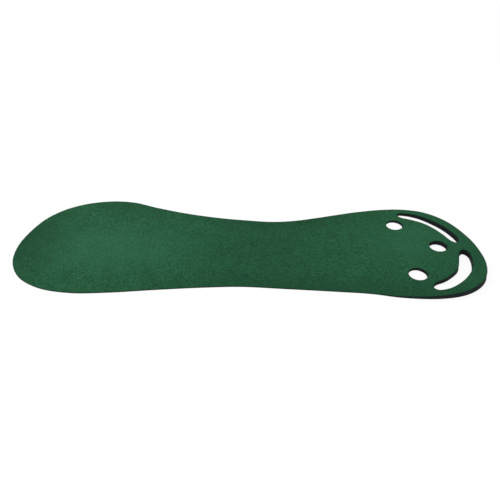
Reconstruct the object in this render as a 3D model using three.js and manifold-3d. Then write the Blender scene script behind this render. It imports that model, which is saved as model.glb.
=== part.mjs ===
// Practice putting mat, 9 ft long by 3 ft wide, for indoor putting.
// A short velour turf is bonded to a thin foam backing. Under the cup end the backing gives way to a foam
// ramp, which lifts the green around three cups. Cups and sand traps are cut through turf and ramp.
// Millimetres, +Z up. +X runs from the tee end to the cup end. The origin is on the floor, in the
// middle of the mat's length and width.
import * as THREE from "three";
import { mergeVertices } from "three/addons/utils/BufferGeometryUtils.js";
import Module from "manifold-3d";

// Layers, from the top down.
const TURF_THICKNESS = 2;
const BACKING_THICKNESS = 2.5;
// The bond line is the film of adhesive between two pieces. It is left open.
const BOND_LINE = 0.3;

// Ramp: a foam wedge under the cup end, as thin as the backing where the two meet. The slope's own line
// starts at RAMP_START_X, in the middle of a soft bend, and has climbed by RAMP_RISE at the mat's end.
const RAMP_START_X = 750;
const RAMP_END_X = 1371;
const RAMP_RISE = 35;
const RAMP_BEND_LENGTH = 96;
const RAMP_BEND_STEPS = 6;
const RAMP_JOINT_X = RAMP_START_X - RAMP_BEND_LENGTH / 2;

// Cups: plain round holes, 4 in across, at these centres.
const CUP_DIAMETER = 101.6;
const CUP_CENTRES = [
  [937, 250],
  [1148, 26],
  [971, -223],
];
const CUP_SEGMENTS = 48;

// Outline of the mat: two rounded lobes joined by a waist. A smooth closed curve runs through the points.
const MAT_OUTLINE = [
  [1371, -55], [1351, 95], [1271, 280], [1158, 387], [1030, 428],
  [880, 431], [730, 409], [600, 371], [440, 320], [290, 279],
  [150, 262], [0, 270], [-180, 288], [-395, 327], [-615, 387],
  [-795, 448], [-950, 455], [-1110, 415], [-1233, 337], [-1317, 224],
  [-1360, 76], [-1369, -73], [-1331, -223], [-1237, -348], [-1090, -428],
  [-910, -456], [-710, -443], [-455, -408], [-228, -380], [-5, -361],
  [225, -365], [495, -372], [695, -380], [850, -400], [1040, -398],
  [1178, -366], [1274, -308], [1332, -239], [1364, -147],
];
const MAT_OUTLINE_SEGMENTS = 220;

// Sand traps: two curved slots behind the cups, each a smooth closed curve too.
const SAND_TRAPS = [
  [
    [976, 365], [992, 338], [1059, 305], [1120, 266], [1171, 207],
    [1210, 139], [1237, 80], [1260, 62], [1284, 88], [1269, 158],
    [1227, 238], [1170, 302], [1110, 351], [1044, 378], [991, 382],
  ],
  [
    [1280, -10], [1253, -33], [1231, -95], [1203, -171], [1170, -211],
    [1107, -263], [1044, -298], [1026, -330], [1047, -350], [1107, -339],
    [1166, -304], [1225, -251], [1277, -178], [1304, -85], [1302, -32],
  ],
];
const SAND_TRAP_SEGMENTS = 96;

// The cutting blocks reach this far past the mat on every side.
const CLEARANCE = 20;
const SIDE_BLOCK_WIDTH = 2 * (Math.max(...MAT_OUTLINE.map(([, y]) => Math.abs(y))) + CLEARANCE);
const SIDE_BLOCK_START_X = Math.min(...MAT_OUTLINE.map(([x]) => x)) - CLEARANCE;
const SIDE_BLOCK_END_X = RAMP_END_X + CLEARANCE;

const wasm = await Module();
wasm.setup();

function toSolid(geometry) {
  const bare = geometry.clone();
  bare.deleteAttribute("normal");
  bare.deleteAttribute("uv");
  const merged = mergeVertices(bare);
  return new wasm.Manifold(
    new wasm.Mesh({
      numProp: 3,
      vertProperties: merged.attributes.position.array,
      triVerts: new Uint32Array(merged.index.array),
    }),
  );
}

function toGeometry(solid) {
  const mesh = solid.getMesh();
  const geometry = new THREE.BufferGeometry();
  geometry.setAttribute("position", new THREE.BufferAttribute(mesh.vertProperties, 3));
  geometry.setIndex(new THREE.BufferAttribute(mesh.triVerts, 1));
  geometry.computeVertexNormals();
  return geometry;
}

// A smooth closed curve through the points, as a list of 2-D points.
function smoothLoop(points, segments) {
  const knots = points.map(([x, y]) => new THREE.Vector3(x, y, 0));
  const curve = new THREE.CatmullRomCurve3(knots, true, "centripetal");
  const loop = curve.getSpacedPoints(segments).slice(0, segments);
  return loop.map((point) => new THREE.Vector2(point.x, point.y));
}

function circle([x, y], diameter, segments) {
  return new THREE.EllipseCurve(x, y, diameter / 2, diameter / 2).getPoints(segments).slice(0, segments);
}

// The mat seen from above, with its cups and traps cut out, as an upright block.
function planBlock() {
  const plan = new THREE.Shape(smoothLoop(MAT_OUTLINE, MAT_OUTLINE_SEGMENTS));
  for (const centre of CUP_CENTRES) {
    plan.holes.push(new THREE.Path(circle(centre, CUP_DIAMETER, CUP_SEGMENTS)));
  }
  for (const trap of SAND_TRAPS) {
    plan.holes.push(new THREE.Path(smoothLoop(trap, SAND_TRAP_SEGMENTS)));
  }
  const height = RAMP_RISE + BACKING_THICKNESS + TURF_THICKNESS + 2 * CLEARANCE;
  const block = new THREE.ExtrudeGeometry(plan, { depth: height, bevelEnabled: false });
  return toSolid(block.translate(0, 0, -CLEARANCE));
}

// Height of the top of the foam above the floor: level, then a parabolic bend, then a plain slope.
const RAMP_SLOPE = RAMP_RISE / (RAMP_END_X - RAMP_START_X);
function foamTop(x) {
  const intoBend = x - RAMP_JOINT_X;
  if (intoBend <= 0) return BACKING_THICKNESS;
  if (intoBend >= RAMP_BEND_LENGTH) return BACKING_THICKNESS + RAMP_SLOPE * (x - RAMP_START_X);
  return BACKING_THICKNESS + (RAMP_SLOPE * intoBend * intoBend) / (2 * RAMP_BEND_LENGTH);
}

// Stations along the mat where the side view turns, from one end of a piece to the other.
function stations(fromX, toX) {
  const inside = [];
  for (let step = 0; step <= RAMP_BEND_STEPS; step++) {
    const x = RAMP_JOINT_X + (RAMP_BEND_LENGTH * step) / RAMP_BEND_STEPS;
    if (x > fromX && x < toX) inside.push(x);
  }
  return [fromX, ...inside, toX];
}

// A piece seen from the side, between two height functions, as a block across the mat.
function sideBlock(fromX, toX, bottom, top) {
  const along = stations(fromX, toX);
  const below = along.map((x) => new THREE.Vector2(x, bottom(x)));
  const above = along.map((x) => new THREE.Vector2(x, top(x))).reverse();
  const block = new THREE.ExtrudeGeometry(new THREE.Shape([...below, ...above]), {
    depth: SIDE_BLOCK_WIDTH,
    bevelEnabled: false,
  });
  return toSolid(block.rotateX(Math.PI / 2).translate(0, SIDE_BLOCK_WIDTH / 2, 0));
}

const plan = planBlock();

function layer(name, block, colour, roughness) {
  const material = new THREE.MeshStandardMaterial({ color: colour, roughness, metalness: 0 });
  const mesh = new THREE.Mesh(toGeometry(plan.intersect(block)), material);
  mesh.name = name;
  return mesh;
}

// The turf covers the whole mat and climbs the ramp with it.
function puttingTurf() {
  const bottom = (x) => foamTop(x) + BOND_LINE;
  const top = (x) => bottom(x) + TURF_THICKNESS;
  const block = sideBlock(SIDE_BLOCK_START_X, SIDE_BLOCK_END_X, bottom, top);
  return layer("putting_turf", block, 0x2c5c40, 0.95);
}

// The backing is a sheet of black foam under the level green, from the tee end to the ramp.
function foamBacking() {
  const block = sideBlock(SIDE_BLOCK_START_X, RAMP_JOINT_X - BOND_LINE, () => 0, foamTop);
  return layer("foam_backing", block, 0x191c1e, 0.9);
}

// The ramp is a solid wedge that lies flat on the floor and is butted to the backing.
function foamRamp() {
  const block = sideBlock(RAMP_JOINT_X, SIDE_BLOCK_END_X, () => 0, foamTop);
  return layer("foam_ramp", block, 0x16191b, 0.9);
}

const mat = new THREE.Group();
mat.name = "practice_putting_mat";
mat.add(puttingTurf(), foamBacking(), foamRamp());

export default mat;
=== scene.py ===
"""Practice putting mat: short velour turf on black foam, with a foam ramp under the cup end."""

import math

import bmesh
import bpy
import numpy as np
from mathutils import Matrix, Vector, kdtree, noise
from mathutils.geometry import delaunay_2d_cdt


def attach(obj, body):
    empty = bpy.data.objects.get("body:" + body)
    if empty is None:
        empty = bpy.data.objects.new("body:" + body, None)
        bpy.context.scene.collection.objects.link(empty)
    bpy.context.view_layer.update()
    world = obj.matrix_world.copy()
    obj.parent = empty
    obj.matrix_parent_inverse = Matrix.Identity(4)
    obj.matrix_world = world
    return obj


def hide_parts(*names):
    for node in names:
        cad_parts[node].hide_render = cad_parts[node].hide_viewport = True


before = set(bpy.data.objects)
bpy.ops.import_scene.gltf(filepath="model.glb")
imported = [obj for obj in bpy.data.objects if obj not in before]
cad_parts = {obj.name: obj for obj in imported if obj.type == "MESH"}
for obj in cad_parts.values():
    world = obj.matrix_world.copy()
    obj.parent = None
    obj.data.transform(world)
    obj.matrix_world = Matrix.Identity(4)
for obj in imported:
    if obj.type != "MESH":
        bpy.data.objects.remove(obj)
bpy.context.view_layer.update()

MM = 0.001
SEED = 20261

# Reading the CAD meshes. A level face has over LEVEL of its normal along Z, a wall under WALL.
WELD_DISTANCE = 1e-5
LEVEL = 0.9
WALL = 0.3
PROFILE_DIGITS = 6
PROFILE_STEP = 1e-4
FLAT_ON_FLOOR = 1e-5

# Rims: points nearer than SHORTEST_EDGE are dropped, and turns over CORNER_ANGLE stay sharp.
RIM_SPACING = 4 * MM
SHORTEST_EDGE = 1 * MM
CORNER_ANGLE = math.radians(60)
CURVE_STEPS = 12

# Filled faces: a staggered grid, scattered by a share of its spacing, that keeps clear of the rims.
TURF_GRID = 7 * MM
FOAM_GRID = 25 * MM
GRID_SCATTER = 0.22
RIM_CLEARANCE = 0.45
MESH_TOLERANCE = 1e-7
POINTS_AT_ONCE = 2000

# Rounded top rims, and how far each piece's foot is tucked in.
TURF_RADIUS = 0.9 * MM
TURF_FOOT = 0.1 * MM
FOAM_RADIUS = 0.25 * MM
FOAM_FOOT = 0.2 * MM

# Turf and foam each fill this much of the bond line that the CAD leaves open between them.
BOND_FILL = 0.12 * MM

# A wall that is cut through the ramp leans: its foot lies further towards the cup end, as when foam
# is cut square to its sloping top, and stands out, as when it springs back after the cut. Both are
# shares of the height above THIN_FOAM, and follow the photo's dark walls.
LEAN = 0.10
FLARE = 0.06
THIN_FOAM = 5 * MM

# Soft patches of painted light and shade on the green, for uneven light and the nap's sheen: middle
# x and y, radius along X and Y, how far towards painted light (+) or painted shade (-).
PAINTED_LIGHT_PATCHES = [
    (-0.80, -0.06, 0.72, 0.36, 0.27),
    (-1.36, -0.05, 0.40, 0.60, -0.62),
    (-0.70, 0.44, 0.75, 0.22, -0.35),
    (0.25, -0.42, 1.15, 0.27, -0.62),
    (0.10, -0.02, 0.60, 0.45, -0.32),
    (0.15, 0.34, 0.85, 0.24, -0.62),
    (1.05, -0.42, 0.60, 0.25, -0.38),
    (1.30, 0.00, 0.33, 0.50, -0.30),
    (1.02, 0.08, 0.45, 0.32, 0.24),
]
# The patch of green that has lint on it: middle x and y, radius along X and Y.
LINT_PATCH = (-1.0, 0, 0.9, 0.9)

FLOOR_HALF_SIZE = 12.0
FLOOR_DROP = 0.5 * MM
FLOOR_GLOW = 0.86
KEY_LIGHT_AT = (-2.2, 1.6, 3.2)
KEY_LIGHT_TOWARDS = (-0.3, 0, 0)
KEY_LIGHT_SIZE = 2.0
KEY_LIGHT_POWER = 60
CAMERA_AT = (0.1470, -2.2803, 1.7479)
CAMERA_TURN = (math.radians(58.156), 0, math.radians(3.0))
CAMERA_LENS = 34.126
CAMERA_SENSOR = 36
CAMERA_SHIFT = -0.1


# ---------------------------------------------------------------- reading the CAD nodes

def welded(node):
    """A CAD node's mesh with its doubled vertices joined."""
    bm = bmesh.new()
    bm.from_mesh(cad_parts[node].data)
    bmesh.ops.remove_doubles(bm, verts=bm.verts, dist=WELD_DISTANCE)
    bm.normal_update()
    return bm


def rim_loops(node):
    """The closed loops round a node's top face: material on the left, the longest loop first."""
    bm = welded(node)
    following = {}
    place = {}
    for edge in bm.edges:
        up = [f for f in edge.link_faces if f.normal.z > LEVEL]
        side = [f for f in edge.link_faces if abs(f.normal.z) < WALL]
        if len(up) != 1 or len(side) != 1:
            continue
        for loop in up[0].loops:
            if loop.edge == edge:
                start, end = loop.vert, loop.link_loop_next.vert
                following[start.index] = end.index
                place[start.index] = (start.co.x, start.co.y)
    bm.free()
    loops = []
    while following:
        at = next(iter(following))
        points = []
        while at in following:
            points.append(place[at])
            at = following.pop(at)
        loops.append(np.array(points))
    return sorted(loops, key=lambda p: -np.ptp(p[:, 0]))


def side_profile(node, facing):
    """(x, z) along a node's top (facing 1) or underside (facing -1), which is the same across Y."""
    bm = welded(node)
    corners = [v.co for f in bm.faces if f.normal.z * facing > LEVEL for v in f.verts]
    places = {(round(co.x, PROFILE_DIGITS), round(co.z, PROFILE_DIGITS)) for co in corners}
    bm.free()
    xs, zs = np.array(sorted(places)).T
    keep = np.append(True, np.diff(xs) > PROFILE_STEP)
    return xs[keep], zs[keep]


# ---------------------------------------------------------------- loops

def turns(points):
    """How far a closed loop turns at each point."""
    before = points - np.roll(points, 1, axis=0)
    after = np.roll(points, -1, axis=0) - points
    cross = before[:, 0] * after[:, 1] - before[:, 1] * after[:, 0]
    return np.abs(np.arctan2(cross, (before * after).sum(axis=1)))


def curve_through(points):
    """A dense open curve from the second point to the last but one (centripetal Catmull-Rom)."""
    p0, p1, p2, p3 = points[:-3], points[1:-2], points[2:-1], points[3:]

    def knot(a, b):
        return np.sqrt(np.linalg.norm(b - a, axis=1))[:, None]

    t1 = knot(p0, p1)
    t2 = t1 + knot(p1, p2)
    t3 = t2 + knot(p2, p3)
    rows = []
    for share in np.linspace(0, 1, CURVE_STEPS, endpoint=False):
        t = t1 + share * (t2 - t1)
        a1 = (t1 - t) / t1 * p0 + t / t1 * p1
        a2 = (t2 - t) / (t2 - t1) * p1 + (t - t1) / (t2 - t1) * p2
        a3 = (t3 - t) / (t3 - t2) * p2 + (t - t2) / (t3 - t2) * p3
        b1 = (t2 - t) / t2 * a1 + t / t2 * a2
        b2 = (t3 - t) / (t3 - t1) * a2 + (t - t1) / (t3 - t1) * a3
        rows.append((t2 - t) / (t2 - t1) * b1 + (t - t1) / (t2 - t1) * b2)
    dense = np.stack(rows, axis=1).reshape(-1, 2)
    return np.vstack([dense, points[-2]])


def even(points, spacing):
    """An open curve's points at an even spacing, without the last one."""
    steps = np.linalg.norm(np.diff(points, axis=0), axis=1)
    along = np.append(0, np.cumsum(steps))
    count = max(int(round(along[-1] / spacing)), 2)
    at = np.linspace(0, along[-1], count, endpoint=False)
    return np.column_stack([np.interp(at, along, points[:, k]) for k in (0, 1)])


def smooth_loop(points, spacing):
    """A closed loop through the points at an even spacing, with its real corners kept sharp."""
    gap = np.linalg.norm(points - np.roll(points, 1, axis=0), axis=1)
    points = points[gap > SHORTEST_EDGE]
    corners = np.flatnonzero(turns(points) > CORNER_ANGLE)
    if len(corners) == 0:
        padded = np.vstack([points[-1], points, points[:2]])
        return even(curve_through(padded), spacing)
    spans = []
    for k, start in enumerate(corners):
        end = corners[(k + 1) % len(corners)]
        count = (end - start) % len(points) or len(points)
        span = points[[(start + i) % len(points) for i in range(count + 1)]]
        before, after = 2 * span[0] - span[1], 2 * span[-1] - span[-2]
        spans.append(even(curve_through(np.vstack([before, span, after])), spacing))
    return np.vstack(spans)


def inward(points):
    """Unit normals to the left of a closed loop, which is into the material."""
    along = np.roll(points, -1, axis=0) - np.roll(points, 1, axis=0)
    normal = np.column_stack([-along[:, 1], along[:, 0]])
    return normal / np.linalg.norm(normal, axis=1)[:, None]


def inside(points, loops):
    """Which points lie inside the loops, holes left out."""
    a = np.vstack(loops)
    b = np.vstack([np.roll(p, -1, axis=0) for p in loops])
    found = np.zeros(len(points), bool)
    batches = max(len(points) // POINTS_AT_ONCE, 1)
    for some in np.array_split(np.arange(len(points)), batches):
        x, y = points[some, 0][:, None], points[some, 1][:, None]
        spans = (a[:, 1] > y) != (b[:, 1] > y)
        rise = np.where(b[:, 1] == a[:, 1], 1, b[:, 1] - a[:, 1])
        cross = a[:, 0] + (y - a[:, 1]) * (b[:, 0] - a[:, 0]) / rise
        found[some] = (spans & (x < cross)).sum(axis=1) % 2 == 1
    return found


# ---------------------------------------------------------------- slabs

def fill(loops, grid, rng):
    """Grid points inside the loops, and triangles over the loops' points followed by the grid's."""
    rim = np.vstack(loops)
    low, high = rim.min(axis=0), rim.max(axis=0)
    xs = np.arange(low[0] + grid / 2, high[0], grid)
    ys = np.arange(low[1] + grid / 2, high[1], grid * math.sqrt(3) / 2)
    x, y = np.meshgrid(xs, ys)
    x[1::2] += grid / 2
    points = np.column_stack([x.ravel(), y.ravel()])
    points += rng.uniform(-GRID_SCATTER, GRID_SCATTER, points.shape) * grid
    points = points[inside(points, loops)]
    tree = kdtree.KDTree(len(rim))
    for k, p in enumerate(rim):
        tree.insert((p[0], p[1], 0), k)
    tree.balance()
    clear = RIM_CLEARANCE * max(min(grid, 3 * RIM_SPACING), RIM_SPACING)
    far = [tree.find((p[0], p[1], 0))[2] > clear for p in points]
    points = points[np.array(far, bool)]

    edges, first = [], 0
    for loop in loops:
        n = len(loop)
        edges += [(first + k, first + (k + 1) % n) for k in range(n)]
        first += n
    everything = np.vstack([rim, points])
    coords, _, faces, original, _, _ = delaunay_2d_cdt(
        [Vector(p) for p in everything], edges, [], 0, MESH_TOLERANCE
    )
    if len(coords) != len(everything):
        raise RuntimeError("the rim loops cross each other")
    source = [names[0] for names in original]
    triangles = np.array([[source[v] for v in face] for face in faces])
    on_rim = (triangles < len(rim)).all(axis=1)
    middle = everything[triangles[on_rim]].mean(axis=1)
    keep = np.ones(len(triangles), bool)
    keep[np.flatnonzero(on_rim)] = inside(middle, loops)
    return points, triangles[keep]


def slab(name, loops, top, bottom, rings, grid, top_noise, rim_noise, cut, rng):
    """A closed flat piece. rings go from the top face to the underside, each (inset, share of the
    way from top to bottom, metres added to that height). top(x, y) and bottom(x, y) are the two
    faces. cut(points, share) is how far the wall has moved from its top, share of the way down."""
    top_loops = [p + inward(p) * rings[0][0] for p in loops]
    base_loops = [p + inward(p) * rings[-1][0] + cut(p, 1) for p in loops]
    sizes = [len(p) for p in loops]
    total = sum(sizes)
    rows, depth = [], []
    for inset, share, lift in rings:
        ring = []
        for p in loops:
            inset_here = inset + rim_noise(p, share, rng)
            ring.append(p + inward(p) * inset_here[:, None] + cut(p, share))
        ring = np.vstack(ring)
        z_top, z_bottom = top(*ring.T), bottom(*ring.T)
        z = z_top + share * (z_bottom - z_top) + lift
        rows.append(np.column_stack([ring, z]))
        depth.append(((z_top - z) / (z_top - z_bottom)).clip(0, 1))
    # The first and last rings are the loops that the top face and the underside are filled from.
    rows[0][:, :2] = np.vstack(top_loops)
    rows[-1][:, :2] = np.vstack(base_loops)

    faces = []
    for k in range(len(rings) - 1):
        above, below = k * total, (k + 1) * total
        first = 0
        for size in sizes:
            i = first + np.arange(size)
            j = first + (np.arange(size) + 1) % size
            faces += np.column_stack([above + i, below + i, below + j, above + j]).tolist()
            first += size

    on_rings = len(rings) * total
    over, over_faces = fill(top_loops, grid, rng)
    rows.append(np.column_stack([over, top(*over.T) + rings[0][2] + top_noise(over, rng)]))
    depth.append(np.zeros(len(over)))
    over_faces += np.where(over_faces < total, 0, on_rings - total)
    faces += over_faces.tolist()

    under, under_faces = fill(base_loops, FOAM_GRID, rng)
    rows.append(np.column_stack([under, bottom(*under.T) + rings[-1][2]]))
    depth.append(np.ones(len(under)))
    last_ring, beyond = on_rings - total, on_rings + len(over) - total
    under_faces += np.where(under_faces < total, last_ring, beyond)
    faces += under_faces[:, ::-1].tolist()

    mesh = bpy.data.meshes.new(name)
    mesh.from_pydata(np.vstack(rows).tolist(), [], faces)
    mesh.polygons.foreach_set("use_smooth", np.ones(len(mesh.polygons), bool))
    depth = np.concatenate(depth)
    edge = np.arange(len(depth)) < on_rings
    for title, values in (("depth", depth), ("edge", edge)):
        attribute = mesh.attributes.new(title, "FLOAT", "POINT")
        attribute.data.foreach_set("value", values.astype(np.float32))
    mesh.update()
    if mesh.validate():
        raise RuntimeError(name + " has faces that Blender had to mend")
    piece = bpy.data.objects.new(name, mesh)
    bpy.context.scene.collection.objects.link(piece)
    return piece


def field(points, scale, seed):
    """Smooth noise from -1 to 1 over the plan, with features about 1 / scale metres across."""
    return np.array([noise.noise((x * scale, y * scale, seed)) for x, y in points])


def swell(x, y):
    """The foam's own unevenness, which turf and foam share."""
    return 0.5 * MM * field(np.column_stack([x, y]), scale=3.1, seed=4.7)


def turf_nap(points, rng):
    tufts = rng.normal(0, 0.11, len(points)).clip(-0.25, 0.25)
    return MM * (tufts + 0.22 * field(points, scale=38, seed=1.3))


def no_nap(points, rng):
    return np.zeros(len(points))


def turf_rim(points, share, rng):
    uneven = 0.3 * field(points, scale=55, seed=2.9)
    return MM * (uneven + rng.uniform(-0.12, 0.12, len(points)))


def foam_rim(points, share, rng):
    uneven = 0.12 * field(points, scale=70, seed=9 + 5 * share)
    return MM * (uneven + rng.uniform(-0.06, 0.06, len(points)))


def upright(points, share):
    return np.zeros((len(points), 2))


RAMP_XS, RAMP_TOP = side_profile("foam_ramp", 1)


def cut_through_ramp(points, share):
    """The lean along X and the flare, which starts slowly, of a wall cut through the ramp."""
    tall = (np.interp(points[:, 0], RAMP_XS, RAMP_TOP) - THIN_FOAM).clip(0)[:, None]
    return tall * (np.array([LEAN * share, 0]) - inward(points) * FLARE * share**2)


def surface(node, facing, shift):
    """Height over the plan of a CAD node's top or underside. Off the floor, it is moved by shift
    and swells."""
    xs, zs = side_profile(node, facing)
    free = abs(zs).max() > FLAT_ON_FLOOR

    def height(x, y):
        return np.interp(x, xs, zs) + (shift + swell(x, y) if free else 0)

    return height


def rounded(radius, steps, wall_rings, foot):
    """Rings over a rounded top rim, down the wall and in under the foot."""
    rings = []
    for k in range(steps + 1):
        angle = math.pi / 2 * k / steps
        rings.append((radius * (1 - math.sin(angle)), 0.0, -radius * (1 - math.cos(angle))))
    for k in range(1, wall_rings):
        share = k / wall_rings
        rings.append((0.0, share, -radius * (1 - share)))
    rings.append((0.0, 1.0, foot))
    rings.append((foot, 1.0, 0.0))
    return rings


rng = np.random.default_rng(SEED)

turf_loops = [smooth_loop(p, RIM_SPACING) for p in rim_loops("putting_turf")]
turf = slab(
    "turf_sheet", turf_loops,
    surface("putting_turf", 1, 0), surface("putting_turf", -1, -BOND_FILL),
    rounded(TURF_RADIUS, 4, 3, TURF_FOOT), TURF_GRID, turf_nap, turf_rim, upright, rng,
)

backing_loops = [smooth_loop(p, RIM_SPACING) for p in rim_loops("foam_backing")]
backing = slab(
    "backing_sheet", backing_loops,
    surface("foam_backing", 1, BOND_FILL), surface("foam_backing", -1, 0),
    rounded(FOAM_RADIUS, 2, 4, FOAM_FOOT), FOAM_GRID, no_nap, foam_rim, upright, rng,
)

ramp_loops = [smooth_loop(p, RIM_SPACING) for p in rim_loops("foam_ramp")]
ramp = slab(
    "ramp_wedge", ramp_loops,
    surface("foam_ramp", 1, BOND_FILL), surface("foam_ramp", -1, 0),
    rounded(FOAM_RADIUS, 2, 11, FOAM_FOOT), FOAM_GRID, no_nap, foam_rim, cut_through_ramp, rng,
)


# ---------------------------------------------------------------- materials

class Nodes:
    """A short way to write a node material."""

    def __init__(self, name):
        self.material = bpy.data.materials.new(name)
        self.material.use_nodes = True
        self.tree = self.material.node_tree
        self.shader = self.tree.nodes["Principled BSDF"]
        self.place = self.add("ShaderNodeTexCoord").outputs["Object"]

    def add(self, kind, settings=None, **inputs):
        node = self.tree.nodes.new(kind)
        for key, value in (settings or {}).items():
            setattr(node, key, value)
        self.fill_in(node, inputs)
        return node

    def fill_in(self, node, inputs):
        """Feeds a node's inputs by name, with _ for a space."""
        for key, value in inputs.items():
            self.feed(node.inputs[key.replace("_", " ")], value)

    def feed(self, socket, value):
        if isinstance(value, bpy.types.NodeSocket):
            self.tree.links.new(value, socket)
        else:
            socket.default_value = value

    def finish(self, **inputs):
        """Sets the shader's own inputs."""
        self.fill_in(self.shader, inputs)
        return self.material

    def noise(self, scale, detail, roughness):
        """Smooth noise whose features are about 1 / scale metres across, spread round 0.5."""
        node = self.add("ShaderNodeTexNoise", Vector=self.place, Scale=scale, Detail=detail,
                        Roughness=roughness)
        return node.outputs["Fac"]

    def spread(self, value, low, high, to_low=0.0, to_high=1.0, smooth=True):
        """The value moved from the range low, high to the range to_low, to_high."""
        kind = "SMOOTHSTEP" if smooth else "LINEAR"
        node = self.add("ShaderNodeMapRange", {"interpolation_type": kind}, Value=value,
                        From_Min=low, From_Max=high, To_Min=to_low, To_Max=to_high)
        return node.outputs["Result"]

    def math(self, kind, a, b, c=0.0):
        node = self.add("ShaderNodeMath", {"operation": kind})
        for socket, value in zip(node.inputs, (a, b, c)):
            self.feed(socket, value)
        return node.outputs[0]

    def times(self, a, b):
        return self.math("MULTIPLY", a, b)

    def weighted(self, *terms):
        """The sum of each (value, weight)."""
        total = 0.0
        for value, weight in terms:
            total = self.math("MULTIPLY_ADD", value, weight, total)
        return total

    def share(self, attribute):
        """A number that the mesh carries at each point."""
        return self.add("ShaderNodeAttribute", {"attribute_name": attribute}).outputs["Fac"]

    def mix(self, share, a, b):
        node = self.add("ShaderNodeMix", {"data_type": "RGBA"})
        self.feed(node.inputs[0], share)
        self.feed(node.inputs[6], a)
        self.feed(node.inputs[7], b)
        return node.outputs[2]

    def vector(self, kind, a, b=(0, 0, 0)):
        node = self.add("ShaderNodeVectorMath", {"operation": kind})
        self.feed(node.inputs[0], a)
        self.feed(node.inputs[1], b)
        return node.outputs["Value" if kind == "LENGTH" else "Vector"]

    def patch(self, x, y, radius_x, radius_y):
        """A soft round patch on the plan: 1 in its middle and 0 past its edge."""
        shifted = self.vector("SUBTRACT", self.place, (x, y, 0))
        scaled = self.vector("MULTIPLY", shifted, (1 / radius_x, 1 / radius_y, 0))
        return self.spread(self.vector("LENGTH", scaled), 0, 1, 1, 0)

    def bump(self, height, strength, distance):
        node = self.add("ShaderNodeBump", Height=height, Strength=strength, Distance=distance)
        return node.outputs["Normal"]


def linear(red, green, blue):
    """A display colour from 0 to 255 as the linear colour that a shader takes."""
    def one(v):
        v /= 255
        return v / 12.92 if v <= 0.04045 else ((v + 0.055) / 1.055) ** 2.4
    return (one(red), one(green), one(blue), 1)


TURF_DARK, TURF_LIGHT = linear(13, 44, 29), linear(44, 98, 66)
# Painted shade and painted light for the green's soft patches.
PAINTED_SHADE_GREEN, PAINTED_LIGHT_GREEN = linear(22, 55, 37), linear(50, 106, 75)
# Painted shade along the turf's cut edge and down its wall.
TURF_EDGE_SHADE = linear(14, 44, 28)
TURF_WALL_SHADE = linear(11, 16, 14)
TURF_SHEEN = linear(120, 190, 140)
LINT = linear(150, 152, 150)
BACKING_DARK, BACKING_LIGHT = linear(15, 17, 20), linear(33, 36, 40)
RAMP_DARK, RAMP_LIGHT = linear(13, 15, 18), linear(32, 35, 39)
FOAM_SHADE = linear(7, 8, 10)


def turf_material():
    m = Nodes("velour_turf")
    # Tufts, fibre bundles, nap brushed different ways, and the faint large shading of a worn green.
    tufts = m.spread(m.noise(1300, 2.0, 0.6), 0.32, 0.68)
    bundles = m.spread(m.noise(420, 3.0, 0.6), 0.3, 0.7)
    mottle = m.spread(m.noise(108, 3.0, 0.6), 0.34, 0.66)
    drift = m.spread(m.noise(9, 3.0, 0.55), 0.3, 0.7)
    shade = m.weighted((mottle, 0.46), (tufts, 0.24), (bundles, 0.2), (drift, 0.1))
    colour = m.mix(shade, TURF_DARK, TURF_LIGHT)
    # Painted light and shade: soft patches where the green is painted lighter or darker, standing
    # for uneven light and for nap that lies over or stands up.
    for *where, level in PAINTED_LIGHT_PATCHES:
        painted_tone = PAINTED_LIGHT_GREEN if level > 0 else PAINTED_SHADE_GREEN
        colour = m.mix(m.times(m.patch(*where), abs(level)), colour, painted_tone)
    # Painted shade: the green is painted darker along every cut edge, where the pile leans outward,
    # and darkest down the cut wall to its roots.
    colour = m.mix(m.spread(m.share("edge"), 0.1, 1, 0, 0.6), colour, TURF_EDGE_SHADE)
    colour = m.mix(m.times(m.spread(m.share("depth"), 0.02, 0.3), 0.95), colour, TURF_WALL_SHADE)
    # A few specks of pale lint at the tee end, in the middle of some cells of a coarse pattern.
    cells = m.add("ShaderNodeTexVoronoi", {"voronoi_dimensions": "2D"}, Vector=m.place, Scale=8.0)
    speck = m.spread(cells.outputs["Distance"], 0.012, 0.024, 1, 0)
    draw = m.add("ShaderNodeSeparateColor", Color=cells.outputs["Color"]).outputs[0]
    lint = m.times(m.times(speck, m.spread(draw, 0.72, 0.74)), m.patch(*LINT_PATCH))
    colour = m.mix(lint, colour, LINT)
    pile = m.weighted((m.noise(900, 2.0, 0.7), 1.0), (m.noise(260, 2.0, 0.6), 1.4))
    return m.finish(
        Base_Color=colour,
        Roughness=m.spread(mottle, 0, 1, 0.98, 0.86, smooth=False),
        Sheen_Weight=0.06,
        Sheen_Roughness=0.5,
        Sheen_Tint=TURF_SHEEN,
        Specular_IOR_Level=0.04,
        Normal=m.bump(pile, strength=0.55, distance=0.7 * MM),
    )


def foam_material(name, dark, light, cells):
    """Black closed-cell foam: fine cells, a slightly uneven grey and dusty patches."""
    m = Nodes(name)
    cell = m.add("ShaderNodeTexVoronoi", Vector=m.place, Scale=cells)
    pores = m.spread(cell.outputs["Distance"], 0.05, 0.55)
    dust = m.spread(m.noise(26, 4.0, 0.6), 0.35, 0.75)
    colour = m.mix(m.weighted((pores, 0.55), (dust, 0.45)), dark, light)
    # Painted shade: the foot of a cut wall is painted the darkest.
    colour = m.mix(m.spread(m.share("depth"), 0.5, 0.95, 0, 0.6), colour, FOAM_SHADE)
    grain = m.weighted((pores, 1.0), (m.noise(1400, 2.0, 0.6), 0.5))
    return m.finish(
        Base_Color=colour,
        Roughness=m.spread(dust, 0, 1, 0.72, 0.92, smooth=False),
        Specular_IOR_Level=0.06,
        Normal=m.bump(grain, strength=0.5, distance=0.4 * MM),
    )


turf.data.materials.append(turf_material())
backing.data.materials.append(foam_material("backing_foam", BACKING_DARK, BACKING_LIGHT, 1100))
ramp.data.materials.append(foam_material("ramp_foam", RAMP_DARK, RAMP_LIGHT, 800))


# ---------------------------------------------------------------- the frame

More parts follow.
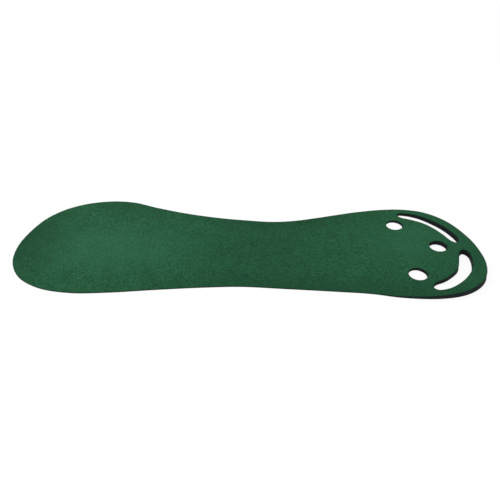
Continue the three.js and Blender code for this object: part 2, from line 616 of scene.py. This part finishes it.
for piece, node, slot in (
    (turf, "putting_turf", "turf"),
    (backing, "foam_backing", "backing_foam"),
    (ramp, "foam_ramp", "ramp_foam"),
):
    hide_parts(node)
    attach(piece, "root")


# ---------------------------------------------------------------- floor, light and camera

def white_floor():
    """A white floor just under the mat. It glows, so that it stays white beside the mat too."""
    size, z = FLOOR_HALF_SIZE, -FLOOR_DROP
    mesh = bpy.data.meshes.new("studio_floor")
    corners = [(-size, -size, z), (size, -size, z), (size, size, z), (-size, size, z)]
    mesh.from_pydata(corners, [], [(0, 1, 2, 3)])
    floor = bpy.data.objects.new("studio_floor", mesh)
    bpy.context.scene.collection.objects.link(floor)
    m = Nodes("studio_white")
    mesh.materials.append(m.finish(
        Base_Color=m.spread(m.noise(3, 2.0, 0.5), 0, 1, 0.13, 0.15, smooth=False),
        Roughness=0.9,
        Specular_IOR_Level=0.0,
        Emission_Color=(1, 1, 1, 1),
        Emission_Strength=FLOOR_GLOW,
    ))


def soft_surroundings():
    world = bpy.data.worlds.new("studio")
    world.use_nodes = True
    background = world.node_tree.nodes["Background"]
    background.inputs["Color"].default_value = (1, 1, 1, 1)
    background.inputs["Strength"].default_value = 1.0
    bpy.context.scene.world = world
    bpy.context.scene.view_settings.view_transform = "Standard"


def key_light():
    data = bpy.data.lights.new("key", "AREA")
    data.shape = "DISK"
    data.size = KEY_LIGHT_SIZE
    data.energy = KEY_LIGHT_POWER
    light = bpy.data.objects.new("key", data)
    light.location = KEY_LIGHT_AT
    aim = Vector(KEY_LIGHT_TOWARDS) - Vector(KEY_LIGHT_AT)
    light.rotation_euler = aim.to_track_quat("-Z", "Y").to_euler()
    bpy.context.scene.collection.objects.link(light)


def photo_camera():
    data = bpy.data.cameras.new("photo_camera")
    data.sensor_width = CAMERA_SENSOR
    data.lens = CAMERA_LENS
    data.shift_y = CAMERA_SHIFT
    camera = bpy.data.objects.new("photo_camera", data)
    camera.location = CAMERA_AT
    camera.rotation_euler = CAMERA_TURN
    bpy.context.scene.collection.objects.link(camera)
    bpy.context.scene.camera = camera


white_floor()
soft_surroundings()
key_light()
photo_camera()
